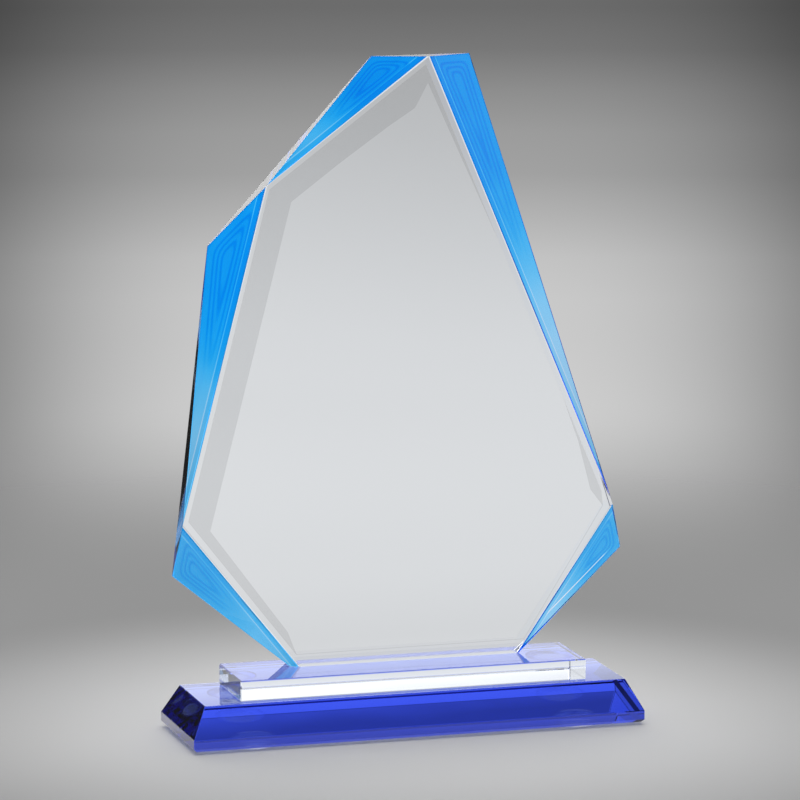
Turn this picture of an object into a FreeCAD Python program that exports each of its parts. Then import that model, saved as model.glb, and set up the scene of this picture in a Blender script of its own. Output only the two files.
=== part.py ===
"""Crystal award: a faceted clear glass plaque on a clear glass step and a blue glass base.

The origin is on the surface that the award stands on, under the middle of the base. X runs along the
base to the right, Y runs away from the reader and Z runs up. All sizes are in millimetres.
"""

import FreeCAD, Part
import math
import os

import Sketcher

# Driving dimensions: word, size, what it measures.
DIMENSIONS = (
    ("base_length", 177.0, "blue base, left to right"),
    ("base_depth", 51.0, "blue base, front to back"),
    ("base_height", 15.9, "blue base, bottom to top"),
    ("base_skirt", 4.5, "upright band under the slopes"),
    ("base_end_inset", 5.8, "how far each end slope leans in"),
    ("base_side_inset", 6.4, "how far the front and back slopes lean in"),
    ("base_bottom_chamfer", 1.1, "chamfer round the bottom"),
    ("step_length", 136.0, "clear step, left to right"),
    ("step_depth", 32.0, "clear step, front to back"),
    ("step_height", 7.9, "clear step, bottom to top"),
    ("step_arris", 0.4, "narrow polished flat on the step's edges"),
    ("bond", 0.1, "thickness of each adhesive film"),
    ("bond_margin", 0.5, "how far the step's film stays inside its edge"),
    ("foot_radius", 9.4, "round anti-slip foot, at its rim"),
    ("foot_sole_radius", 6.0, "flat middle of the foot's underside"),
    ("foot_height", 1.0, "foot, top to bottom"),
    ("foot_rim", 0.25, "upright rim above the domed part"),
    ("foot_reach_x", 63.5, "foot's centre from the middle, left or right"),
    ("foot_reach_y", 14.5, "foot's centre from the middle, front or back"),
    ("plaque_thickness", 8.0, "glass plate"),
    ("plaque_front", 1.7, "front face of the plaque behind the base's middle"),
    ("edge_land", 0.5, "what a facet leaves of the plate's edge at its outer corner"),
    ("coat", 0.12, "thickness of the blue lacquer on a facet"),
    ("coat_gap", 0.4, "clear line left along a facet's inner edge"),
)

# Outline of the plaque as its back face shows it, clockwise in a front view: word, x, height above its foot.
OUTLINE = (
    ("foot_left", -43.7, 0.0),
    ("lower_left", -87.8, 36.2),
    ("upper_left", -73.3, 160.8),
    ("top_left", -9.7, 230.0),
    ("top_right", 28.7, 230.0),
    ("right", 90.1, 37.6),
    ("foot_right", 46.8, 0.0),
)

# Corners of the flat front face that lie part of the way along an edge of the outline: word, edge, share.
FRONT_ON_EDGE = (
    ("front_left", "upper_left", "lower_left", 0.836),
    ("front_shoulder", "top_left", "upper_left", 0.666),
    ("front_top", "top_left", "top_right", 0.526),
    ("front_right", "top_right", "right", 0.904),
)

# Corners of the front face on the foot line, between the two corners of the foot: word, x.
FRONT_ON_FOOT = (
    ("front_foot_left", -40.1),
    ("front_foot_right", 45.9),
)

# Ground facets: word, inner edge from and to, outer corner, and the foot corner with the end it is beside.
FACETS = (
    ("top_left", "front_shoulder", "front_top", "top_left", None, None),
    ("upper_left", "front_left", "front_shoulder", "upper_left", None, None),
    ("lower_left", "front_foot_left", "front_left", "lower_left", "foot_left", "start"),
    ("right", "front_top", "front_right", "top_right", None, None),
    ("lower_right", "front_right", "front_foot_right", "right", "foot_right", "end"),
)

PLAQUE_FOOT = "Sizes.foot_height + Sizes.base_height + Sizes.bond + Sizes.step_height + Sizes.bond"


def fill_sheet(doc):
    """Puts every driving dimension into the spreadsheet under its own word."""
    sheet = doc.addObject("Spreadsheet::Sheet", "Sizes")
    rows = list(DIMENSIONS)
    for word, x, height in OUTLINE:
        rows.append((word + "_x", x, "plaque outline corner, x"))
        rows.append((word + "_up", height, "plaque outline corner, height above the foot"))
    for word, _, _, share in FRONT_ON_EDGE:
        rows.append((word + "_share", share, "front corner, share of the way along its edge"))
    for word, x in FRONT_ON_FOOT:
        rows.append((word + "_x", x, "front corner on the foot line, x"))
    for row, (word, size, meaning) in enumerate(rows, start=1):
        sheet.set("A%d" % row, str(size))
        sheet.setAlias("A%d" % row, word)
        sheet.set("B%d" % row, meaning)
    doc.recompute()
    return sheet


def corner_expressions():
    """Gives each corner of the plaque as a pair of expressions: x and height above its foot."""
    corners = {}
    for word, _, _ in OUTLINE:
        corners[word] = ("Sizes.%s_x" % word, "Sizes.%s_up" % word)
    for word, start, end, _ in FRONT_ON_EDGE:
        (x1, up1), (x2, up2) = corners[start], corners[end]
        share = "Sizes.%s_share" % word
        corners[word] = (
            "(%s + (%s - %s) * %s)" % (x1, x2, x1, share),
            "(%s + (%s - %s) * %s)" % (up1, up2, up1, share),
        )
    for word, _ in FRONT_ON_FOOT:
        corners[word] = ("Sizes.%s_x" % word, "Sizes.foot_left_up")
    return corners


def new_body(doc, label):
    """Adds an empty body whose label is its node's name."""
    body = doc.addObject("PartDesign::Body", label)
    body.Label = label
    return body


def place(part, x="0", y="0", z="0"):
    """Binds a sub-part's position to the sheet."""
    for axis, expression in (("x", x), ("y", y), ("z", z)):
        if expression != "0":
            part.setExpression("Placement.Base." + axis, expression)


def new_sketch(body, name, role, offset=None):
    """Adds a sketch on one of the body's own origin planes, moved by an offset expression."""
    sketch = body.newObject("Sketcher::SketchObject", name)
    plane = next(item for item in body.Origin.OriginFeatures if item.Role == role)
    sketch.AttachmentSupport = [(plane, "")]
    sketch.MapMode = "FlatFace"
    if offset:
        sketch.setExpression("AttachmentOffset", offset)
    return sketch


def draw_polygon(sketch, sheet, corners):
    """Draws a closed polygon whose corners are pairs of expressions, and binds each corner to them."""
    points = [
        FreeCAD.Vector(float(sheet.evalExpression(x)), float(sheet.evalExpression(y)), 0)
        for x, y in corners
    ]
    for index, point in enumerate(points):
        following = points[(index + 1) % len(points)]
        sketch.addGeometry(Part.LineSegment(point, following), False)
    for index in range(len(points)):
        following = (index + 1) % len(points)
        sketch.addConstraint(Sketcher.Constraint("Coincident", index, 2, following, 1))
    for index, (point, (x, y)) in enumerate(zip(points, corners)):
        for kind, size, expression in (("DistanceX", point.x, x), ("DistanceY", point.y, y)):
            number = sketch.addConstraint(Sketcher.Constraint(kind, -1, 1, index, 1, size))
            name = "%s_%d" % (kind, index)
            sketch.renameConstraint(number, name)
            sketch.setExpression("Constraints." + name, expression)


def draw_rectangle(sketch, sheet, length, depth):
    """Draws a rectangle about the sketch's origin from two size expressions."""
    signs = ((-1, -1), (1, -1), (1, 1), (-1, 1))
    corners = [("%d * (%s) / 2" % (sx, length), "%d * (%s) / 2" % (sy, depth)) for sx, sy in signs]
    draw_polygon(sketch, sheet, corners)


def raised(height):
    """Gives the offset expression that lifts a sketch straight off its plane."""
    return "placement(vector(0; 0; %s); rotation(0; 0; 0))" % height


def add_pad(body, sketch, length, reverse=False):
    """Pads a sketch by a length expression."""
    pad = body.newObject("PartDesign::Pad", sketch.Name + "_pad")
    pad.Profile = sketch
    pad.setExpression("Length", length)
    pad.Reversed = reverse
    return pad


def add_chamfer(doc, body, name, size, wanted):
    """Chamfers the edges of the body's last feature that a test picks out."""
    doc.recompute()
    base = body.Tip
    edges = ["Edge%d" % number for number, edge in enumerate(base.Shape.Edges, start=1) if wanted(edge)]
    chamfer = body.newObject("PartDesign::Chamfer", name)
    chamfer.Base = (base, edges)
    chamfer.setExpression("Size", size)
    return chamfer


def build_base(doc, sheet):
    """Blue glass slab: an upright skirt, four slopes above it and a chamfered bottom."""
    body = new_body(doc, "blue_base")
    skirt = new_sketch(body, "base_outline", "XY_Plane")
    draw_rectangle(skirt, sheet, "Sizes.base_length", "Sizes.base_depth")
    add_pad(body, skirt, "Sizes.base_skirt")
    lower = new_sketch(body, "slope_foot", "XY_Plane", raised("Sizes.base_skirt"))
    draw_rectangle(lower, sheet, "Sizes.base_length", "Sizes.base_depth")
    upper = new_sketch(body, "slope_top", "XY_Plane", raised("Sizes.base_height"))
    draw_rectangle(
        upper,
        sheet,
        "Sizes.base_length - 2 * Sizes.base_end_inset",
        "Sizes.base_depth - 2 * Sizes.base_side_inset",
    )
    slope = body.newObject("PartDesign::AdditiveLoft", "slopes")
    slope.Profile = lower
    slope.Sections = [upper]
    slope.Ruled = True
    add_chamfer(
        doc,
        body,
        "bottom_chamfer",
        "Sizes.base_bottom_chamfer",
        lambda edge: all(abs(v.Point.z) < 0.01 for v in edge.Vertexes),
    )
    place(body, z="Sizes.foot_height")
    return body


def build_step(doc, sheet):
    """Clear glass bar that lies on the base and carries the plaque."""
    body = new_body(doc, "step_block")
    outline = new_sketch(body, "step_outline", "XY_Plane")
    draw_rectangle(outline, sheet, "Sizes.step_length", "Sizes.step_depth")
    add_pad(body, outline, "Sizes.step_height")
    add_chamfer(doc, body, "step_arrises", "Sizes.step_arris", lambda edge: True)
    place(body, z="Sizes.foot_height + Sizes.base_height + Sizes.bond")
    return body


def build_film(doc, label, sizes, corner):
    """Film of cured clear adhesive between two glass faces."""
    film = doc.addObject("Part::Box", label)
    film.Label = label
    for side, expression in zip(("Length", "Width", "Height"), sizes):
        film.setExpression(side, expression)
    place(film, *corner)
    return film


def build_step_bond(doc):
    """Adhesive between the base's top and the step, kept just inside the step's edge."""
    length = "(Sizes.step_length - 2 * Sizes.bond_margin)"
    depth = "(Sizes.step_depth - 2 * Sizes.bond_margin)"
    corner = ("-%s / 2" % length, "-%s / 2" % depth, "Sizes.foot_height + Sizes.base_height")
    return build_film(doc, "step_bond", (length, depth, "Sizes.bond"), corner)


def build_plaque_bond(doc):
    """Adhesive under the plaque, as wide as the front face's foot."""
    length = "Sizes.front_foot_right_x - Sizes.front_foot_left_x"
    under_plaque = "Sizes.foot_height + Sizes.base_height + Sizes.bond + Sizes.step_height"
    corner = ("Sizes.front_foot_left_x", "Sizes.plaque_front", under_plaque)
    return build_film(doc, "plaque_bond", (length, "Sizes.plaque_thickness", "Sizes.bond"), corner)


class Facet:
    """One ground facet: the plane through its inner edge and its outer corner, as expressions."""

    def __init__(self, row, corners):
        self.name, start, end, outer, foot, self.foot_end = row
        self.start = corners[start]
        self.end = corners[end]
        run_x = "(%s - %s)" % (self.end[0], self.start[0])
        run_up = "(%s - %s)" % (self.end[1], self.start[1])
        self.length = "sqrt(%s^2 + %s^2)" % (run_x, run_up)
        self.run = (run_x, run_up)
        drop = "(Sizes.plaque_thickness - Sizes.edge_land)"
        self.tilt = "atan2(%s; %s)" % (drop, self.reach(corners[outer]))
        self.outer = self.on_plane(corners[outer])
        self.foot = self.on_plane(corners[foot]) if foot else None

    def reach(self, corner):
        """How far a corner lies outside the inner edge, in the front view."""
        along_x = "(%s - %s)" % (corner[0], self.start[0])
        along_up = "(%s - %s)" % (corner[1], self.start[1])
        return "((%s * %s - %s * %s) / %s)" % (along_up, self.run[0], along_x, self.run[1], self.length)

    def on_plane(self, corner):
        """A corner's place in the facet's own plane: along the inner edge, and outward from it."""
        along_x = "(%s - %s)" % (corner[0], self.start[0])
        along_up = "(%s - %s)" % (corner[1], self.start[1])
        along = "((%s * %s + %s * %s) / %s)" % (along_x, self.run[0], along_up, self.run[1], self.length)
        return along, "(%s / cos(%s))" % (self.reach(corner), self.tilt)

    def offset(self):
        """Turns the front view's plane into the facet's plane."""
        turn = "atan2(%s; %s)" % (self.run[1], self.run[0])
        return "placement(vector(%s; %s; 0); rotation(%s; 0; -%s))" % (*self.start, turn, self.tilt)

    def coat_outline(self):
        """Corners of the lacquered area, which stops short of the facet's inner edge."""
        ring = [("0", "0"), (self.length, "0")]
        if self.foot and self.foot_end == "end":
            ring.append(self.foot)
        ring.append(self.outer)
        if self.foot and self.foot_end == "start":
            ring.append(self.foot)
        gap = "Sizes.coat_gap"
        before_start = ring[-1]
        after_end = ring[2]
        first = ("%s * %s / %s" % (before_start[0], gap, before_start[1]), gap)
        slant = "(%s - %s) / %s" % (after_end[0], self.length, after_end[1])
        second = ("%s + %s * %s" % (self.length, slant, gap), gap)
        return [first, second] + ring[2:]


def build_plaque(doc, sheet, corners, facets):
    """Clear glass plate with five facets ground off its front edges."""
    body = new_body(doc, "plaque")
    outline = new_sketch(body, "plaque_outline", "XZ_Plane")
    draw_polygon(outline, sheet, [corners[word] for word, _, _ in OUTLINE])
    add_pad(body, outline, "Sizes.plaque_thickness", reverse=True)
    for facet in facets:
        doc.recompute()
        before = body.Tip.Shape.Volume
        sketch = new_sketch(body, facet.name + "_facet", "XZ_Plane", facet.offset())
        # The grinding plane reaches well past the facet all round, and the cut clears all that stands above it.
        draw_rectangle(sketch, sheet, "4 * " + facet.length, "2 * Sizes.base_depth")
        cut = body.newObject("PartDesign::Pocket", facet.name + "_grind")
        cut.Profile = sketch
        cut.Reversed = True
        cut.setExpression("Length", "2 * Sizes.plaque_thickness")
        doc.recompute()
        print("%s facet takes off %.1f cubic mm" % (facet.name, before - body.Tip.Shape.Volume))
    place(body, y="Sizes.plaque_front", z=PLAQUE_FOOT)
    return body


def build_coat(doc, sheet, facet):
    """Translucent blue lacquer on one facet."""
    body = new_body(doc, "facet_coat_" + facet.name)
    sketch = new_sketch(body, facet.name + "_coat_outline", "XZ_Plane", facet.offset())
    draw_polygon(sketch, sheet, facet.coat_outline())
    add_pad(body, sketch, "Sizes.coat")
    place(body, y="Sizes.plaque_front", z=PLAQUE_FOOT)
    return body


def draw_foot_profile(sketch, sheet):
    """Draws half of a foot's section: a flat sole, a domed edge that leaves it level, an upright rim and a flat top."""
    sole, radius, rim, top = (
        float(sheet.evalExpression("Sizes." + word))
        for word in ("foot_sole_radius", "foot_radius", "foot_rim", "foot_height")
    )
    reach, rise = radius - sole, top - rim
    dome_radius = (reach**2 + rise**2) / (2 * rise)
    half_turn = math.atan2(reach, dome_radius - rise) / 2
    middle = FreeCAD.Vector(0, 0, 0)
    sole_edge = FreeCAD.Vector(sole, 0, 0)
    belly = FreeCAD.Vector(sole + dome_radius * math.sin(half_turn), dome_radius * (1 - math.cos(half_turn)), 0)
    rim_foot = FreeCAD.Vector(radius, rise, 0)
    rim_top = FreeCAD.Vector(radius, top, 0)
    middle_top = FreeCAD.Vector(0, top, 0)
    for start, end in ((middle, sole_edge), (rim_foot, rim_top), (rim_top, middle_top), (middle_top, middle)):
        sketch.addGeometry(Part.LineSegment(start, end), False)
    sketch.addGeometry(Part.Arc(sole_edge, belly, rim_foot), False)
    bottom, side_line, lid, axis, dome = range(5)
    sketch.addConstraint(Sketcher.Constraint("Tangent", bottom, 2, dome, 1))
    for line, following in ((dome, side_line), (side_line, lid), (lid, axis), (axis, bottom)):
        sketch.addConstraint(Sketcher.Constraint("Coincident", line, 2, following, 1))
    sketch.addConstraint(Sketcher.Constraint("Coincident", bottom, 1, -1, 1))
    for line in (bottom, lid):
        sketch.addConstraint(Sketcher.Constraint("Horizontal", line))
    for line in (side_line, axis):
        sketch.addConstraint(Sketcher.Constraint("Vertical", line))
    for kind, line, first, last, word, size in (
        ("DistanceX", bottom, 1, 2, "foot_sole_radius", sole),
        ("DistanceX", lid, 2, 1, "foot_radius", radius),
        ("DistanceY", side_line, 1, 2, "foot_rim", rim),
        ("DistanceY", axis, 2, 1, "foot_height", top),
    ):
        number = sketch.addConstraint(Sketcher.Constraint(kind, line, first, line, last, size))
        sketch.renameConstraint(number, word)
        sketch.setExpression("Constraints." + word, "Sizes." + word)


def build_foot(doc, sheet, label, side, row):
    """Round clear anti-slip foot stuck under the base near one corner."""
    body = new_body(doc, label)
    half = new_sketch(body, label + "_profile", "XZ_Plane")
    draw_foot_profile(half, sheet)
    turned = body.newObject("PartDesign::Revolution", label + "_turned")
    turned.Profile = half
    turned.ReferenceAxis = (half, ["V_Axis"])
    turned.Angle = 360
    place(body, x="%d * Sizes.foot_reach_x" % side, y="%d * Sizes.foot_reach_y" % row)
    return body


def check(doc, parts):
    """Stops the build when any object failed or any sub-part has a null or invalid shape."""
    doc.recompute()
    for item in doc.Objects:
        if {"Invalid", "Error"} & set(item.State):
            raise RuntimeError("%s failed: %s" % (item.Label, item.State))
    for part in parts:
        if part.Shape.isNull() or not part.Shape.isValid() or len(part.Shape.Solids) != 1:
            raise RuntimeError("%s has no sound shape" % part.Label)
        box = part.Shape.BoundBox
        print(
            "%-24s %9.1f cubic mm  x %.2f..%.2f  y %.2f..%.2f  z %.2f..%.2f"
            % (part.Label, part.Shape.Volume, box.XMin, box.XMax, box.YMin, box.YMax, box.ZMin, box.ZMax)
        )


def main():
    doc = FreeCAD.newDocument("crystal_award")
    sheet = fill_sheet(doc)
    corners = corner_expressions()
    facets = [Facet(row, corners) for row in FACETS]
    parts = [
        build_base(doc, sheet),
        build_step_bond(doc),
        build_step(doc, sheet),
        build_plaque_bond(doc),
        build_plaque(doc, sheet, corners, facets),
    ]
    for facet in facets:
        parts.append(build_coat(doc, sheet, facet))
    for row_name, row in (("front", -1), ("rear", 1)):
        for side_name, side in (("left", -1), ("right", 1)):
            parts.append(build_foot(doc, sheet, "foot_%s_%s" % (row_name, side_name), side, row))
    check(doc, parts)
    os.makedirs("parts", exist_ok=True)
    for part in parts:
        part.Shape.exportStep("parts/%s.step" % part.Label)


main()
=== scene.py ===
"""Looks of the crystal award: a clear glass plaque with blue-lacquered facets, a clear step and a blue base.

Every piece starts from the shape or the bounds of its CAD node, which set its size and its place.
Lengths are metres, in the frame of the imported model: X to the right, Y to the back, Z up.
"""

import math

import bmesh
import bpy
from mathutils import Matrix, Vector
from mathutils.geometry import delaunay_2d_cdt


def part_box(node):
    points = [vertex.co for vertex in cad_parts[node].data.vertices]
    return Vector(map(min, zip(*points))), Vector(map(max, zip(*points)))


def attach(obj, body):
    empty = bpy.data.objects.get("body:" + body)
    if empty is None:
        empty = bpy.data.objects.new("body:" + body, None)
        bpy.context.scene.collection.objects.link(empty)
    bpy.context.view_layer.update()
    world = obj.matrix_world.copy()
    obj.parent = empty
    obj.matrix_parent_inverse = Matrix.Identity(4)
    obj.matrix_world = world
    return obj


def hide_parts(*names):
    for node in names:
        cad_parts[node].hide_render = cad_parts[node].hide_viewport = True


MM = 0.001
HAIR = 1e-7                         # metres: points closer than this are one point
FLAT = 0.999                        # beyond this a part of a normal counts as all of it
BODY = "root"
WHITE = (1.0, 1.0, 1.0, 1.0)

# Optics
GLASS_IOR = 1.52
FILM_IOR = 1.50                     # adhesive, lacquer and rubber are all close to this
# How strongly light bends where glass lies on a film. Under the step it is enough to mirror the sky at a low
# angle. Elsewhere the film matches the glass more closely, and light goes through.
LAID_IOR = GLASS_IOR / FILM_IOR
BONDED_IOR = 1.005
BLUE_LOSS = (67.0, 53.0, 8.0)       # what the base glass absorbs of red, green and blue, per metre
CLEAR_LOSS = (4.5, 3.8, 2.2)        # the same of the clear glass, which shows along its long edges only
CLEAR_TINT = (0.965, 0.985, 1.0)    # of the clear glass's surface
HAZE = 0.018                        # roughness of polished glass in its least clear patches
CLEAR_WAVE = 0.004 * MM             # height of the slow waves in the polish
BLUE_WAVE = 0.006 * MM
GROUND_ROUGHNESS = 0.05             # of the plaque's side walls
PAD_WETTING = 0.15                  # share of a pad's area where its adhesive wets the glass

# Edges and pads
ARRIS = 0.34 * MM                   # width of the flat polished along an edge
BASE_ARRIS = 0.30 * MM
AIR = 0.005 * MM                    # gap kept between two faces that meet, so that they don't coincide
SOLE_RADIUS = 6.0 * MM              # of the flat middle of a pad's underside
PAD_RIM = 0.25 * MM                 # height of a pad's upright rim
DOME_STEPS = 10
PAD_SIDES = 64

# Lacquer. "In" is a share of the way in from the coat's edges. "Along" is a share of the way from its outer
# corner to its tip, given as (where a change starts, where it ends). A gain is a share of the depth.
LACQUER_LOSS = (5.6, 1.12, 0.12)    # exp(-loss) of red, green and blue gets through lacquer of unit depth
RED_POWER = 1.6                     # deep lacquer takes out red faster than in proportion to its depth
GRID = 0.8 * MM                     # mesh size
TAIL_REACH = 2.0 * MM               # how far a pointed tail is drawn out
THINNING = (0.15, 0.68)             # along
TIP_POOL = (0.91, 0.97)             # along
POOL_ROUND = 0.9 * MM               # how much the contours round off in the corners
POOL_RINGS = (0.38, 0.60, 0.82)     # in
RING_WIDTH = 0.09                   # in, half the width of a ring
RING_GAIN = 0.26
RING_RELIEF = 0.006 * MM
RINGS_FADE = (0.25, 0.50)           # along
EDGE_WIDTH = 0.12                   # in, the deeper lacquer along the edges
EDGE_GAIN = 0.10
ROLL_WIDTH = 0.15                   # in, where the outer face falls away towards the edges
ROLL_RELIEF = 0.010 * MM
REFLECTION_LINE_AT = 2.3                       # millimetres in from the front face's edge: a painted reflection, a bright line where the coat is made thin
REFLECTION_LINE_WIDTH = 0.36
REFLECTION_LINE_GAIN = -0.38
BAND_FADE = 0.4                     # millimetres, over which the deeper band between edge and line ends
BAND_GAIN = 0.14
GLEAM_FACET = "lower_right"         # the one facet with a painted highlight, a thin streak of thinner lacquer
GLEAM_AT = 3.3                      # millimetres in from the facet's outer edge
GLEAM_CORE = 0.05
GLEAM_WIDTH = 0.45
GLEAM_GAIN = -0.75
GLEAM_START = (0.08, 0.16)          # along
GLEAM_END = (0.60, 0.72)            # along
# The depth on each facet: at its wide end, along its tail, and where it pools at the tip
FACETS = {
    "top_left": (1.08, 0.64, 0.64),
    "upper_left": (1.00, 0.46, 0.46),
    "lower_left": (0.76, 0.52, 0.52),
    "right": (0.96, 0.36, 2.4),
    "lower_right": (0.74, 0.40, 2.0),
}

# Painted shadow: a faint grey border on the plaque's back face, which stands in for the shadow of the blue
# facets, lies between these outlines: (x, z) in millimetres, clockwise
SHADOW_INNER_OUTLINE = [(11.8, 244.5), (57.5, 145.0), (72.0, 105.0), (77.0, 86.0), (81.9, 79.6), (50.4, 29.2), (-40.1, 28.7),
         (-43.5, 37.5), (-73.5, 78.0), (-41.5, 201.5), (-22.6, 215.5), (-3.4, 228.8), (6.7, 235.2)]
SHADOW_OUTER_OUTLINE = [(11.0, 251.5), (81.5, 85.0), (82.1, 79.5), (50.5, 29.0), (-40.2, 28.5), (-82.0, 82.0),
          (-50.0, 206.5)]
# How much light the painted shadow lets through
PAINTED_SHADOW_TONE = 0.69

# Camera
CAMERA_AZIMUTH = math.radians(-16.59)
CAMERA_ELEVATION = math.radians(9.64)
CAMERA_DISTANCE = 1.9868
CAMERA_TARGET = Vector((-1.17 * MM, 0.0, 125.65 * MM))
CAMERA_LENS = 237.3
AHEAD = 16.6                        # compass direction that the camera looks in, as below

# Floor. Each pair of radii is where a change starts and where it ends, in metres from the middle.
FLOOR_RADIUS = 1.2
# Painted pool of light: the floor's grey is paler in the middle and darker further out.
PAINTED_POOL_GREYS = (0.88, 0.46)           # of the middle, and further out
PAINTED_POOL_RADII = (0.09, 0.24)
PAINTED_POOL_GLOW = 0.10                   # painted glow from the middle: a pool of light as the camera sees it
PAINTED_POOL_GLOW_RADII = (0.04, 0.15)
FADE_RADII = (0.25, 0.75)           # the floor fades into the background
# Light from the floor to the glass, at places from the front (-1 m) to the back (1 m)
FLOOR_GLOW = [(-1.0, 0.80), (-0.3, 0.72), (-0.15, 0.75), (-0.10, 1.2), (-0.03, 0.6), (0.005, 0.75),
              (0.03, 1.1), (0.08, 1.0), (0.13, 0.69), (0.30, 0.74), (1.0, 0.84)]

# Sky: (degrees above the horizon, brightness) stops
SIDES = [(-90, 1.0), (-30, 0.75), (-12, 0.40), (-2, 0.22), (3, 0.12), (40, 0.12), (62, 0.9), (75, 1.6),
         (90, 1.6)]
WALL = [(-90, 1.05), (-14, 1.05), (-5, 1.15), (2, 1.20), (6, 0.90), (40, 0.90), (62, 0.9), (75, 1.6),
        (90, 1.6)]
PANEL = [(-90, 1.05), (-14, 1.0), (-5, 1.0), (2, 1.0), (5, 1.2), (9, 1.4), (12, 2.8), (16.3, 2.8),
         (18.2, 0.25), (24, 0.3), (30, 1.3), (62, 1.5), (90, 1.6)]
CARD = [(-90, 1.05), (-24, 1.05), (-14, 0.84), (-9.6, 0.73), (-5.5, 0.48), (-3, 0.48), (2, 0.8), (10.8, 0.90),
        (12.2, 1.40), (12.85, 1.40), (12.95, 0.52), (22, 0.60), (27, 1.40), (45, 1.4), (90, 1.6)]
FLAG = [(-90, 1.0), (-20, 0.8), (-12, 0.10), (-5, 0.04), (9, 0.05), (13, 0.9), (30, 1.0), (62, 1.2),
        (90, 1.6)]
FRONT = [(-90, 1.4), (-28, 1.1), (-18, 0.75), (-10, 0.6), (-2, 0.20), (3, 0.05), (50, 0.08), (68, 0.9),
         (78, 1.6), (90, 1.6)]
TABLE = [(-90, 1.4), (-28, 1.1), (-18, 0.80), (-12, 0.75), (-2, 0.70), (4, 0.10), (50, 0.08), (68, 0.9),
         (78, 1.6), (90, 1.6)]
WINDOW = [(-90, 1.5), (-30, 1.5), (-12, 0.8), (0, 0.55), (20, 0.55), (35, 0.12), (50, 0.12), (68, 0.9),
          (78, 1.6), (90, 1.6)]
# Where each lies: its compass direction (0 is behind the award, 90 to its right), the degrees to either side
# within which it is full, and the degrees beyond which it is gone. A later one lies over those before it.
SECTORS = [
    (22, 28, 50, WALL),
    (3, 8, 21, PANEL),
    (AHEAD, 4, 13, CARD),
    (-20, 4, 8.5, FLAG),
    (180, 45, 80, FRONT),
    (164, 16, 38, TABLE),
    (118, 12, 28, WINDOW),
]
CARD_MIDDLE = 0.28                  # the card leans, so that its top edge is level in the reflections
CARD_LEAN = 0.10
# What the camera itself sees of the background
BACKDROP = [(-90, 0.40), (-14, 0.42), (-11.8, 0.44), (-10.2, 0.64), (-8.5, 0.59), (-6.9, 0.34), (-5.4, 0.15),
            (0, 0.12), (90, 0.12)]
BACKDROP_GLOW = (0.5, 5.2)          # painted pool of light: degrees to either side of the middle, where it starts and ends to darken
BACKDROP_REST = 0.35                # share of the brightness that is left beyond


# ---------------------------------------------------------------- mesh helpers

def solid_of(node):
    """The node's own shape, with each flat face in one piece."""
    shape = bmesh.new()
    shape.from_mesh(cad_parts[node].data)
    bmesh.ops.remove_doubles(shape, verts=shape.verts, dist=0.001 * MM)
    bmesh.ops.dissolve_limit(shape, angle_limit=math.radians(0.3), verts=shape.verts, edges=shape.edges)
    shape.normal_update()
    return shape


def edges_between(shape, one, other):
    """(point, normal, normal) of each edge between a face that one() accepts and one that other() accepts."""
    found = []
    for edge in shape.edges:
        a, b = edge.link_faces
        if (one(a) and other(b)) or (one(b) and other(a)):
            found.append((sum((v.co for v in edge.verts), Vector()) / 2, a.normal.copy(), b.normal.copy()))
    return found


def polish_edges(shape, edges, width):
    """Cuts a flat of this width along each edge of a convex solid."""
    for point, a, b in edges:
        half = a.angle(b) / 2
        out = (a + b).normalized()
        depth = width / 2 * math.tan(half)
        cut = bmesh.ops.bisect_plane(
            shape, geom=[*shape.verts, *shape.edges, *shape.faces],
            plane_co=point - out * depth, plane_no=out, clear_outer=True, dist=HAIR,
        )
        rim = [e for e in cut["geom_cut"] if isinstance(e, bmesh.types.BMEdge)]
        bmesh.ops.edgeloop_fill(shape, edges=rim)
    shape.normal_update()
    bmesh.ops.recalc_face_normals(shape, faces=shape.faces)


def split_face(shape, face, outlines):
    """Cuts closed outlines into a flat face, and returns the new faces inside each of them.

    The innermost outline comes first. The face lies across Z or Y, and the outlines are (x, y) or (x, z).
    """
    level = abs(face.normal.z) > FLAT
    keep, drop = ((0, 1), 2) if level else ((0, 2), 1)
    height = face.verts[0].co[drop]
    rings = [[Vector((v.co[keep[0]], v.co[keep[1]])) for v in face.verts],
             *[[Vector(p) for p in ring] for ring in outlines]]
    points, edges = [], []
    for ring in rings:
        start = len(points)
        points += ring
        edges += [(start + i, start + (i + 1) % len(ring)) for i in range(len(ring))]
    flat, _, triangles, *_ = delaunay_2d_cdt(points, edges, [], 1, HAIR)
    upward = face.normal.z > 0 if level else face.normal.y < 0
    corners = {tuple(round(c / HAIR) for c in p): v for p, v in zip(rings[0], face.verts)}
    made = []
    for p in flat:
        place = (p.x, p.y, height) if level else (p.x, height, p.y)
        made.append(corners.get(tuple(round(c / HAIR) for c in p)) or shape.verts.new(place))
    shape.faces.remove(face)
    inside = [[] for _ in outlines]
    for triangle in triangles:
        order = triangle if upward else list(reversed(triangle))
        new = shape.faces.new([made[i] for i in order])
        middle = sum((flat[i] for i in triangle), Vector((0, 0))) / 3
        for ring, found in zip(rings[1:], inside):
            if holds(ring, middle):
                found.append(new)
                break
    shape.normal_update()
    return inside


def holds(ring, point):
    """True if the outline goes round the point."""
    inside = False
    for a, b in zip(ring, ring[1:] + ring[:1]):
        if (a.y > point.y) != (b.y > point.y):
            crossing = a.x + (b.x - a.x) * (point.y - a.y) / (b.y - a.y)
            inside ^= point.x < crossing
    return inside


def rectangle(node):
    low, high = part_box(node)
    return [(low.x, low.y), (high.x, low.y), (high.x, high.y), (low.x, high.y)]


def circle(node, points=48):
    low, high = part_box(node)
    centre, radius = (low + high) / 2, (high.x - low.x) / 2
    turns = [2 * math.pi / points * i for i in range(points)]
    return [(centre.x + radius * math.cos(turn), centre.y + radius * math.sin(turn)) for turn in turns]


def whole(faces):
    return [(face, 1.0) for face in faces]


def largest(faces):
    return max(faces, key=lambda face: face.calc_area())


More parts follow.
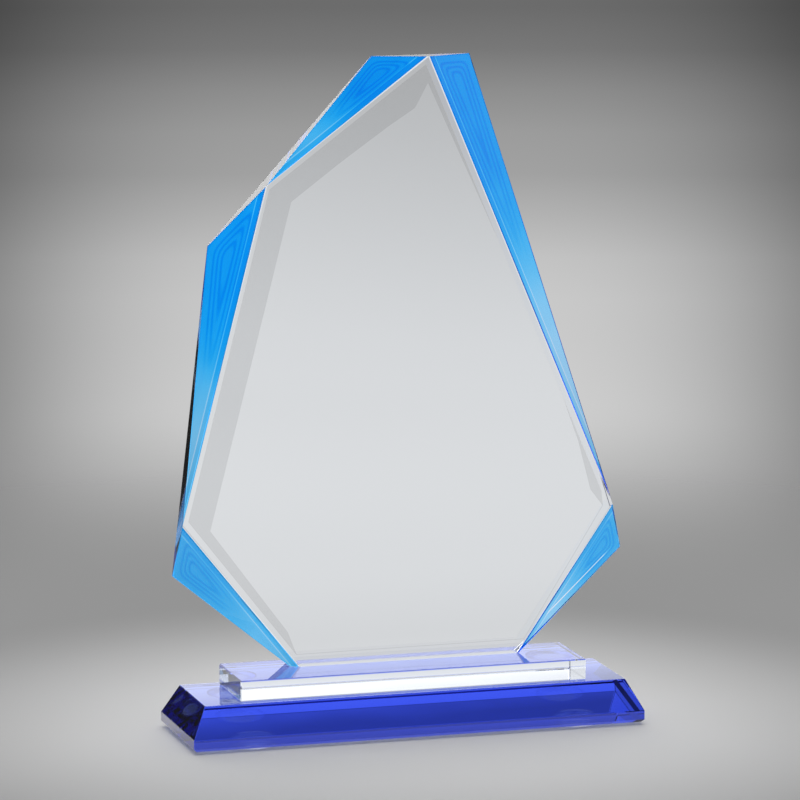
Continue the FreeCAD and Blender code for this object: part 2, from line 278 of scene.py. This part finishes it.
def level_face(shape, height):
    """The shape's level face at this height."""
    return largest(
        f for f in shape.faces if abs(f.normal.z) > FLAT and abs(f.verts[0].co.z - height) < 0.01 * MM)


def mark(mesh, label, domain, numbers):
    mesh.attributes.new(label, "FLOAT", domain).data.foreach_set("value", numbers)


def piece(
    name, shape, material, replaces,
    bonded=(), laid=(), ground=(), painted_shadow=(), smooth=(), values=None,
):
    """Makes the shape an object that stands for its CAD nodes.

    bonded are (face, share) pairs, with the share of the face that a film wets. laid are the faces of the
    joint under the step, ground the faces left fine-ground, and the faces given for the painted shadow get a
    faint grey tone.
    values are more numbers for the material, one for each vertex.
    """
    shape.faces.index_update()
    wetted = {face.index: share for face, share in bonded}
    marked = {
        label: {face.index for face in faces}
        for label, faces in (("laid", laid), ("ground", ground), ("painted_shadow", painted_shadow))
    }
    rounded = {face.index for face in smooth}
    mesh = bpy.data.meshes.new(name)
    shape.to_mesh(mesh)
    shape.free()
    count = range(len(mesh.polygons))
    mark(mesh, "bonded", "FACE", [wetted.get(i, 0.0) for i in count])
    for label, chosen in marked.items():
        mark(mesh, label, "FACE", [float(i in chosen) for i in count])
    mesh.polygons.foreach_set("use_smooth", [i in rounded for i in count])
    for label, numbers in (values or {}).items():
        mark(mesh, label, "POINT", numbers)
    mesh.materials.append(material)
    made = bpy.data.objects.new(name, mesh)
    bpy.context.scene.collection.objects.link(made)
    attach(made, BODY)
    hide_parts(*replaces)
    return made


# ---------------------------------------------------------------- material helpers

class Tree:
    """A node tree, with short calls for the nodes that this script uses."""

    def __init__(self, owner):
        owner.use_nodes = True
        self.nodes = owner.node_tree.nodes
        self.links = owner.node_tree.links
        self.nodes.clear()
        self.output = "OutputWorld" if isinstance(owner, bpy.types.World) else "OutputMaterial"

    def add(self, kind, inputs=None, **settings):
        """A new node, with a number, a colour or another node's socket for each input that is given."""
        node = self.nodes.new("ShaderNode" + kind)
        for name, value in settings.items():
            setattr(node, name, value)
        for name, value in (inputs or {}).items():
            if isinstance(value, bpy.types.NodeSocket):
                self.links.new(value, node.inputs[name])
            else:
                node.inputs[name].default_value = value
        return node

    def math(self, operation, *values):
        return self.add("Math", dict(enumerate(values)), operation=operation).outputs[0]

    def between(self, value, low, high, to_low=0.0, to_high=1.0):
        """value taken smoothly from low..high to to_low..to_high."""
        return self.add("MapRange", {
            "Value": value, "From Min": low, "From Max": high, "To Min": to_low, "To Max": to_high,
        }, interpolation_type="SMOOTHSTEP").outputs["Result"]

    def from_line(self, value, at):
        """How far value is from a line at this place."""
        return self.math("ABSOLUTE", self.math("SUBTRACT", value, at))

    def noise(self, scale, detail=2.0, roughness=0.5):
        place = self.add("TexCoord").outputs["Object"]
        return self.add("TexNoise", {
            "Vector": place, "Scale": scale, "Detail": detail, "Roughness": roughness,
        }).outputs["Fac"]

    def attribute(self, name):
        return self.add("Attribute", attribute_name=name, attribute_type="GEOMETRY").outputs["Fac"]

    def bump(self, height, strength, distance):
        return self.add("Bump", {
            "Height": height, "Strength": strength, "Distance": distance,
        }).outputs["Normal"]

    def colour(self, red, green, blue):
        return self.add("CombineColor", {"Red": red, "Green": green, "Blue": blue}).outputs[0]

    def mix(self, share, first, second):
        return self.add("MixShader", {0: share, 1: first, 2: second}).outputs[0]

    def by_ray(self, others, camera):
        """One shader for the camera's own rays, and another for all others."""
        return self.mix(self.add("LightPath").outputs["Is Camera Ray"], others, camera)

    def out(self, surface, volume=None):
        node = self.add(self.output, {"Surface": surface})
        if volume:
            self.links.new(volume, node.inputs["Volume"])


def new_material(name):
    material = bpy.data.materials.new(name)
    return material, Tree(material)


def glass_surface(tree, ior, roughness, normal, colour=WHITE):
    return tree.add("BsdfPrincipled", {
        "Base Color": colour, "Roughness": roughness, "IOR": ior, "Normal": normal,
        "Transmission Weight": 1.0,
    }).outputs[0]


def polished(tree, wave_height):
    """(roughness, normal) of polished glass: faint cloudy patches, and slow waves from the wheel."""
    cloud = tree.noise(scale=55.0, detail=3.0, roughness=0.6)
    roughness = tree.between(cloud, 0.45, 0.8, 0.0, HAZE)
    wave = tree.noise(scale=30.0, detail=1.0)
    return roughness, tree.bump(wave, 1.0, wave_height)


def block_glass(name, tint, loss, wave_height, with_painted_shadow=False):
    """Solid glass, tinted by depth: polished where it meets the air, nearly invisible where it is bonded."""
    material, tree = new_material(name)
    roughness, normal = polished(tree, wave_height)
    roughness = tree.math("MULTIPLY_ADD", tree.attribute("ground"), GROUND_ROUGHNESS, roughness)
    colour = (*tint, 1.0)
    # Faces marked for the painted shadow pass less light: a grey tone that stands in for the shadow of the
    # blue facets.
    if with_painted_shadow:
        shadow_toned = tree.between(tree.attribute("painted_shadow"), 0.0, 1.0, 1.0, PAINTED_SHADOW_TONE)
        colour = tree.colour(*(tree.math("MULTIPLY", shadow_toned, share) for share in tint))
    free = glass_surface(tree, GLASS_IOR, roughness, normal, colour)
    bonded = glass_surface(tree, BONDED_IOR, 0.0, normal)
    laid = glass_surface(tree, LAID_IOR, 0.0, normal)
    density = max(loss)
    kept = [1.0 - part / density for part in loss]
    volume = tree.add("VolumeAbsorption", {"Color": (*kept, 1.0), "Density": density}).outputs[0]
    surface = tree.mix(tree.attribute("laid"), tree.mix(tree.attribute("bonded"), free, bonded), laid)
    tree.out(surface, volume)
    return material


def clear_glass():
    return block_glass("clear_glass_polished", CLEAR_TINT, CLEAR_LOSS, CLEAR_WAVE, with_painted_shadow=True)


def blue_glass():
    return block_glass("blue_glass_polished", WHITE[:3], BLUE_LOSS, BLUE_WAVE)


def lacquer_gain(tree):
    """How much the rings, the edges, the painted reflection line with its band and the painted highlight
    streak add to the lacquer's depth.
    """
    pool, inset = tree.attribute("pool"), tree.attribute("inset")
    rings = 0.0
    for at in POOL_RINGS:
        ring = tree.between(tree.from_line(pool, at), 0.0, RING_WIDTH, RING_GAIN, 0.0)
        rings = tree.math("ADD", rings, ring)
    rings = tree.math("MULTIPLY", rings, tree.attribute("ringed"))
    edge = tree.between(pool, 0.0, EDGE_WIDTH, EDGE_GAIN, 0.0)
    # Painted reflection: a thin place in the lacquer that shows as a bright line inside the front face's edge
    line = tree.between(tree.from_line(inset, REFLECTION_LINE_AT), 0.0, REFLECTION_LINE_WIDTH, REFLECTION_LINE_GAIN, 0.0)
    band = tree.between(inset, REFLECTION_LINE_AT - BAND_FADE, REFLECTION_LINE_AT, BAND_GAIN, 0.0)
    # Painted highlight: a thin streak of thinner lacquer on one facet
    streak = tree.between(
        tree.from_line(tree.attribute("outset"), GLEAM_AT), GLEAM_CORE, GLEAM_WIDTH, GLEAM_GAIN, 0.0)
    streak = tree.math("MULTIPLY", streak, tree.attribute("gleam"))
    gain = rings
    for part in (edge, line, band, streak):
        gain = tree.math("ADD", gain, part)
    return gain


def blue_lacquer():
    """Clear gloss outside. Light is coloured as it crosses the inner face, more where the coat is deep."""
    material, tree = new_material("blue_lacquer_gloss")
    peel = tree.noise(scale=900.0)
    cloud = tree.noise(scale=60.0)
    even = tree.math("MULTIPLY", tree.attribute("depth"), tree.between(cloud, 0.2, 0.8, 0.95, 1.05))
    depth = tree.math("MULTIPLY", even, tree.math("ADD", lacquer_gain(tree), 1.0))
    depths = [tree.math("POWER", depth, RED_POWER), depth, depth]
    passed = [tree.math("EXPONENT", tree.math("MULTIPLY", d, -loss)) for d, loss in zip(depths, LACQUER_LOSS)]
    tint = tree.add("BsdfTransparent", {"Color": tree.colour(*passed)}).outputs[0]
    gloss = glass_surface(tree, FILM_IOR, 0.01, tree.bump(peel, 0.15, 0.002 * MM))
    tree.out(tree.mix(tree.attribute("bonded"), gloss, tint))
    return material


def adhesive():
    """Clear, with a few pale specks where the noise peaks."""
    material, tree = new_material("cured_adhesive")
    speck = tree.noise(scale=1500.0, detail=1.0)
    haze = tree.between(speck, 0.72, 0.78, 0.0, 0.5)
    clear = tree.add("BsdfTransparent", {"Color": WHITE}).outputs[0]
    grain = tree.add("BsdfTranslucent", {"Color": (0.75, 0.8, 0.9, 1.0)}).outputs[0]
    tree.out(tree.mix(haze, clear, grain))
    return material


def clear_rubber():
    """Satin, and invisible where it is glued to the glass."""
    material, tree = new_material("clear_rubber_satin")
    grain = tree.noise(scale=2500.0)
    normal = tree.bump(grain, 0.3, 0.01 * MM)
    free = glass_surface(tree, FILM_IOR, 0.12, normal, (0.93, 0.94, 0.93, 1.0))
    top = tree.add("BsdfTransparent", {"Color": WHITE}).outputs[0]
    tree.out(tree.mix(tree.attribute("bonded"), free, top))
    return material


# ---------------------------------------------------------------- the award

def is_front(face):
    return face.normal.y < -FLAT


def is_back(face):
    return face.normal.y > FLAT


def is_facet(face):
    return -FLAT < face.normal.y < -0.5


def is_wall(face):
    return abs(face.normal.y) < 0.01 and face.normal.z > -FLAT


def coat_outline(node):
    """(corners of the coat's outer face, its normal), with a pointed tail drawn out to the facet's tip."""
    shape = solid_of(node)
    face = max(shape.faces, key=lambda f: -f.normal.y * f.calc_area())
    corners = [v.co.copy() for v in face.verts]
    normal = face.normal.copy()
    shape.free()
    if len(corners) == 3:
        outer = max(corners, key=lambda c: c.y)
        tail = max(corners, key=lambda c: (c - outer).length)
        tail += (tail - outer).normalized() * TAIL_REACH
    return corners, normal


def inner_edge(corners):
    """The two corners of the coat's outline that lie along the front face."""
    return sorted(corners, key=lambda c: c.y)[:2]


def coated_faces(shape, name):
    """The part of the plaque's facet that lies under its coat, cut from the rest of it."""
    corners, normal = coat_outline("facet_coat_" + name)
    a, b = inner_edge(corners)
    across = normal.cross(b - a).normalized()

    def of_facet():
        return [f for f in shape.faces if f.normal.dot(normal) > 0.9999]

    facet = largest(of_facet())
    bmesh.ops.bisect_plane(
        shape, geom=[facet, *facet.edges, *facet.verts], plane_co=a, plane_no=across, dist=HAIR)
    shape.normal_update()
    middle = sum(corners, Vector()) / len(corners)
    side = across.dot(middle - a) > 0
    return [f for f in of_facet() if (across.dot(f.calc_center_median() - a) > 0) == side]


def build_plaque():
    shape = solid_of("plaque")
    edges = edges_between(shape, is_front, is_facet) + edges_between(shape, is_back, is_wall)
    polish_edges(shape, edges, ARRIS)
    bonded = []
    for name in FACETS:
        bonded += coated_faces(shape, name)
    bonded.append(level_face(shape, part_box("plaque")[0].z))
    walls = [f for f in shape.faces if is_wall(f)]
    back = largest(f for f in shape.faces if is_back(f))
    # Cuts the faces of the painted shadow out of the back face.
    outlines = [[Vector(p) * MM for p in outline] for outline in (SHADOW_INNER_OUTLINE, SHADOW_OUTER_OUTLINE)]
    _, shadow_faces = split_face(shape, back, outlines)
    return piece(
        "plaque_crystal", shape, CLEAR, ["plaque"], whole(bonded), ground=walls, painted_shadow=shadow_faces)


def build_block():
    shape = solid_of("step_block")
    low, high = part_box("step_block")
    [laid] = split_face(shape, level_face(shape, low.z), [rectangle("step_bond")])
    [bonded] = split_face(shape, level_face(shape, high.z), [rectangle("plaque_bond")])
    return piece("step_block_crystal", shape, CLEAR, ["step_block"], whole(bonded), laid)


def build_base():
    shape = solid_of("blue_base")
    low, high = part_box("blue_base")

    def is_top(face):
        return face.normal.z > FLAT

    def is_slope(face):
        return 0.2 < face.normal.z < 0.9

    def is_skirt(face):
        return abs(face.normal.z) < 0.01

    edges = edges_between(shape, is_top, is_slope) + edges_between(shape, is_slope, is_slope)
    edges += edges_between(shape, is_slope, is_skirt) + edges_between(shape, is_skirt, is_skirt)
    polish_edges(shape, edges, BASE_ARRIS)
    [laid] = split_face(shape, level_face(shape, high.z), [rectangle("step_bond")])
    pads = split_face(shape, level_face(shape, low.z), [circle(node) for node in FEET])
    bonded = [(face, PAD_WETTING) for pad in pads for face in pad]
    return piece("base_blue_crystal", shape, BLUE, ["blue_base"], bonded, laid)


def build_film(node):
    """A film of adhesive, a hair thinner than the joint it fills."""
    shape = solid_of(node)
    low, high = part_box(node)
    for corner in shape.verts:
        corner.co.z += AIR if corner.co.z < (low.z + high.z) / 2 else -AIR
    rim = [e for e in shape.edges if e.calc_length() > 5 * MM]
    bmesh.ops.subdivide_edges(shape, edges=rim, cuts=6, use_grid_fill=True)
    shape.normal_update()
    return piece(node + "_film", shape, ADHESIVE, [node])


def pad_profile(low, high, radius):
    """(radius, height) points of a pad, from the middle of its sole over the dome and the rim to its top."""
    rim = high - PAD_RIM
    profile = [(SOLE_RADIUS * i / 3, low) for i in range(4)]
    for i in range(1, DOME_STEPS + 1):
        turn = math.pi / 2 * i / DOME_STEPS
        profile.append(
            (SOLE_RADIUS + (radius - SOLE_RADIUS) * math.sin(turn), rim - (rim - low) * math.cos(turn)))
    profile.append((radius, high))
    profile += [(radius * i / 3, high) for i in (2, 1, 0)]
    return profile


def build_foot(node):
    """A self-adhesive bumper: flat sole, and a domed shoulder up to the glued top."""
    low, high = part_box(node)
    centre = (low + high) / 2
    turns = [2 * math.pi * k / PAD_SIDES for k in range(PAD_SIDES)]
    shape = bmesh.new()
    rings = []
    for radius, z in pad_profile(low.z, high.z - AIR, (high.x - low.x) / 2):
        if radius == 0:
            rings.append([shape.verts.new((centre.x, centre.y, z))])
            continue
        rings.append([
            shape.verts.new((centre.x + radius * math.cos(turn), centre.y + radius * math.sin(turn), z))
            for turn in turns
        ])
    for a, b in zip(rings, rings[1:]):
        for k in range(PAD_SIDES):
            n = (k + 1) % PAD_SIDES
            corners = [a[k % len(a)], a[n % len(a)], b[n % len(b)], b[k % len(b)]]
            shape.faces.new(list(dict.fromkeys(corners)))
    bmesh.ops.recalc_face_normals(shape, faces=shape.faces)
    shape.normal_update()
    top = [f for f in shape.faces if f.normal.z > FLAT]
    domed = [f for f in shape.faces if abs(f.normal.z) < FLAT]
    return piece(node + "_pad", shape, RUBBER, [node], whole(top), smooth=domed)


def step(low, high, value):
    """0 up to low, 1 from high on, and a smooth rise between them."""
    share = min(1.0, max(0.0, (value - low) / (high - low)))
    return share * share * (3 - 2 * share)


def sides(outline, point):
    """How far the point is from each side of the outline."""
    return [
        abs((b - a).cross(point - a)) / (b - a).length for a, b in zip(outline, outline[1:] + outline[:1])]


def way_in(outline, point):
    """How far in from the outline the point is, with contours that round off in the corners."""
    return -POOL_ROUND * math.log(sum(math.exp(-d / POOL_ROUND) for d in sides(outline, point)))


def ring_height(share):
    return sum(1 - step(0.0, RING_WIDTH, abs(share - at)) for at in POOL_RINGS)


def build_coat(name, wide_depth, tail_depth, tip_depth):
    """The lacquer on one facet: an outer face with shallow pooled rings, and an inner face with the colour.

    The lacquer is deep at the facet's wide end and thins out towards its tail.
    """
    node = "facet_coat_" + name
    corners, normal = coat_outline(node)
    shape = solid_of(node)
    thick = max((corners[0] - v.co).dot(normal) for v in shape.verts)
    shape.free()
    a, b = inner_edge(corners)
    along = (b - a).normalized()
    across = normal.cross(along).normalized()
    flat = [Vector(((c - a).dot(along), (c - a).dot(across))) for c in corners]
    outer_corner = max(flat, key=lambda p: abs(p.y))
    tail = max(flat, key=lambda p: (p - outer_corner).length)
    length = (tail - outer_corner).length
    rim = (tail - outer_corner).normalized()
    inside = grid_flat(flat)
    reach = max(way_in(flat, p) for p in inside)
    ring = [(i, (i + 1) % len(flat)) for i in range(len(flat))]
    points, _, triangles, *_ = delaunay_2d_cdt(flat + inside, ring, [], 1, HAIR)
    shape = bmesh.new()
    outer, inner, rows = [], [], []
    for p in points:
        place = a + along * p.x + across * p.y
        share = min(1.0, max(0.0, way_in(flat, p) / reach))
        out = (p - outer_corner).length / length
        ringed = 1 - step(*RINGS_FADE, out)
        sink = ROLL_RELIEF * (1 - step(0.0, ROLL_WIDTH, share)) + RING_RELIEF * ring_height(share) * ringed
        outer.append(shape.verts.new(place - normal * sink))
        inner.append(shape.verts.new(place - normal * (thick - AIR)))
        thinned = wide_depth + (tail_depth - wide_depth) * step(*THINNING, out)
        gleam = step(*GLEAM_START, out) * (1 - step(*GLEAM_END, out)) if name == GLEAM_FACET else 0.0
        rows.append({
            "depth": thinned + (tip_depth - tail_depth) * step(*TIP_POOL, out),
            "pool": share,
            "ringed": ringed,
            "inset": abs(p.y) / MM,
            "outset": abs(rim.cross(p - outer_corner)) / MM,
            "gleam": gleam,
        })
    for triangle in triangles:
        shape.faces.new([outer[i] for i in triangle])
        shape.faces.new([inner[i] for i in triangle])
    bridge_rims(shape, outer, inner)
    bmesh.ops.recalc_face_normals(shape, faces=shape.faces)
    shape.normal_update()
    tinted = [f for f in shape.faces if f.normal.dot(normal) < -0.9]
    glossy = [f for f in shape.faces if f.normal.dot(normal) > 0.9]
    values = {label: [row[label] for row in rows for _ in (outer, inner)] for label in rows[0]}
    return piece(
        node + "_lacquer", shape, LACQUER, [node], whole(tinted),
        smooth=glossy, values=values)


def grid_flat(flat):
    """Points of a triangular grid inside the outline."""
    low = Vector((min(p.x for p in flat), min(p.y for p in flat)))
    high = Vector((max(p.x for p in flat), max(p.y for p in flat)))
    row_height = GRID * math.sqrt(3) / 2
    found = []
    for j in range(1, int((high.y - low.y) / row_height) + 1):
        for i in range(int((high.x - low.x) / GRID) + 2):
            p = Vector((low.x + (i + 0.5 * (j % 2)) * GRID, low.y + j * row_height))
            if holds(flat, p) and min(sides(flat, p)) > 0.3 * GRID:
                found.append(p)
    return found


def bridge_rims(shape, outer, inner):
    """Closes the coat between its outer and inner faces."""
    below = dict(zip(outer, inner))
    for edge in [e for e in shape.edges if e.is_boundary]:
        p, q = edge.verts
        if p in below and q in below:
            shape.faces.new([p, q, below[q], below[p]])


# ---------------------------------------------------------------- camera, floor and light

def build_camera():
    data = bpy.data.cameras.new("camera")
    data.lens = CAMERA_LENS
    data.clip_start, data.clip_end = 0.05, 30.0
    camera = bpy.data.objects.new("camera", data)
    a, e = CAMERA_AZIMUTH, CAMERA_ELEVATION
    back = Vector((math.sin(a) * math.cos(e), -math.cos(a) * math.cos(e), math.sin(e)))
    camera.location = CAMERA_TARGET + back * CAMERA_DISTANCE
    camera.rotation_mode = "QUATERNION"
    camera.rotation_quaternion = (-back).to_track_quat("-Z", "Y")
    bpy.context.scene.collection.objects.link(camera)
    bpy.context.scene.camera = camera


def build_floor():
    """A pale disc that fades into the background, with a painted pool of light in the middle as the camera
    sees it. The glass finds a glow that changes from front to back.
    """
    shape = bmesh.new()
    bmesh.ops.create_circle(shape, cap_ends=True, segments=96, radius=FLOOR_RADIUS)
    mesh = bpy.data.meshes.new("floor")
    shape.to_mesh(mesh)
    shape.free()
    floor = bpy.data.objects.new("floor", mesh)
    bpy.context.scene.collection.objects.link(floor)
    material, tree = new_material("pale_floor")
    place = tree.add("TexCoord").outputs["Object"]
    radius = tree.add("VectorMath", {0: place}, operation="LENGTH").outputs["Value"]
    # Painted pool of light: paler in the middle, darker further out, with a faint glow in the middle.
    grey = tree.between(radius, *PAINTED_POOL_RADII, *PAINTED_POOL_GREYS)
    pale = tree.add("BsdfDiffuse", {"Color": grey}).outputs[0]
    pool_glow = tree.add("Emission", {"Strength": tree.between(radius, *PAINTED_POOL_GLOW_RADII, PAINTED_POOL_GLOW, 0.0)}).outputs[0]
    seen = tree.add("AddShader", {0: pale, 1: pool_glow}).outputs[0]
    glow = graded(tree, tree.add("SeparateXYZ", {0: place}).outputs["Y"], FLOOR_GLOW)
    light = tree.add("Emission", {"Strength": glow}).outputs[0]
    clear = tree.add("BsdfTransparent").outputs[0]
    tree.out(tree.mix(tree.between(radius, *FADE_RADII), tree.by_ray(light, seen), clear))
    mesh.materials.append(material)


def graded(tree, value, stops):
    """A brightness that follows value, from -1 to 1, smoothly through (value, brightness) stops."""
    top = max(brightness for _, brightness in stops)
    node = tree.add("ValToRGB", {"Fac": tree.math("MULTIPLY_ADD", value, 0.5, 0.5)})
    node.color_ramp.interpolation = "EASE"
    elements = node.color_ramp.elements
    while len(elements) < len(stops):
        elements.new(1.0)
    for element, (place, brightness) in zip(elements, stops):
        grey = brightness / top
        element.position = (place + 1) / 2
        element.color = (grey, grey, grey, 1.0)
    return tree.math("MULTIPLY", node.outputs["Color"], top)


def by_elevation(tree, up, stops):
    """A brightness by the angle above the horizon, through (degrees, brightness) stops."""
    return graded(tree, up, [(math.sin(math.radians(angle)), brightness) for angle, brightness in stops])


def lobe(tree, x, y, level, degrees, full, faded):
    """1 within full degrees of a compass direction, 0 beyond faded degrees of it."""
    turn = math.radians(degrees)
    ahead = tree.math("MULTIPLY_ADD", x, math.sin(turn), tree.math("MULTIPLY", y, math.cos(turn)))
    return tree.between(
        tree.math("DIVIDE", ahead, level), math.cos(math.radians(faded)), math.cos(math.radians(full)))


def build_world():
    """Soft studio light: cards, a dark flag and a table, each in its own sector of the sky.

    The camera itself sees a grey backdrop with a painted pool of light around the middle.
    """
    world = bpy.data.worlds.new("studio")
    bpy.context.scene.world = world
    tree = Tree(world)
    place = tree.add("TexCoord").outputs["Generated"]
    axes = tree.add("SeparateXYZ", {0: place}).outputs
    x, y, up = axes["X"], axes["Y"], axes["Z"]
    level = tree.math("SQRT", tree.math("MULTIPLY_ADD", x, x, tree.math("MULTIPLY", y, y)))
    level = tree.math("MAXIMUM", level, 0.001)
    leaning = tree.math("MULTIPLY_ADD", tree.math("SUBTRACT", x, CARD_MIDDLE), CARD_LEAN, up)

    found = by_elevation(tree, up, SIDES)
    for degrees, full, faded, stops in SECTORS:
        share = lobe(tree, x, y, level, degrees, full, faded)
        over = by_elevation(tree, leaning if stops is CARD else up, stops)
        found = tree.add("Mix", {0: share, 2: found, 3: over}, data_type="FLOAT").outputs[0]
    glow = lobe(tree, x, y, level, AHEAD, *BACKDROP_GLOW)
    glow = tree.math("MULTIPLY_ADD", glow, 1 - BACKDROP_REST, BACKDROP_REST)
    seen = tree.math("MULTIPLY", by_elevation(tree, up, BACKDROP), glow)
    light = tree.add("Background", {"Color": found}).outputs[0]
    backdrop = tree.add("Background", {"Color": seen}).outputs[0]
    tree.out(tree.by_ray(light, backdrop))


def set_render():
    scene = bpy.context.scene
    scene.view_settings.view_transform = "Standard"
    scene.cycles.max_bounces = 32
    scene.cycles.transmission_bounces = 32
    scene.cycles.glossy_bounces = 16
    scene.cycles.transparent_max_bounces = 48
    scene.cycles.diffuse_bounces = 3


# ---------------------------------------------------------------- assembly

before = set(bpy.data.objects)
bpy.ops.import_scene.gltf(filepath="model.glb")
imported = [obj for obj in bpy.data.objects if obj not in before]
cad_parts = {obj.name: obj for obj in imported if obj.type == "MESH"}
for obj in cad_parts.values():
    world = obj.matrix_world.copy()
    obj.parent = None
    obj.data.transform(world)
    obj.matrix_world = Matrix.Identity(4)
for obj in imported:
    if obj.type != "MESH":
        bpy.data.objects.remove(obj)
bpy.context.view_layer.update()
FEET = [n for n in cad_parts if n.startswith("foot_")]

CLEAR = clear_glass()
BLUE = blue_glass()
LACQUER = blue_lacquer()
ADHESIVE = adhesive()
RUBBER = clear_rubber()

build_plaque()
build_block()
build_base()
for bond in ("step_bond", "plaque_bond"):
    build_film(bond)
for foot in FEET:
    build_foot(foot)
for facet, depths in FACETS.items():
    build_coat(facet, *depths)
build_floor()
build_world()
build_camera()
set_render()
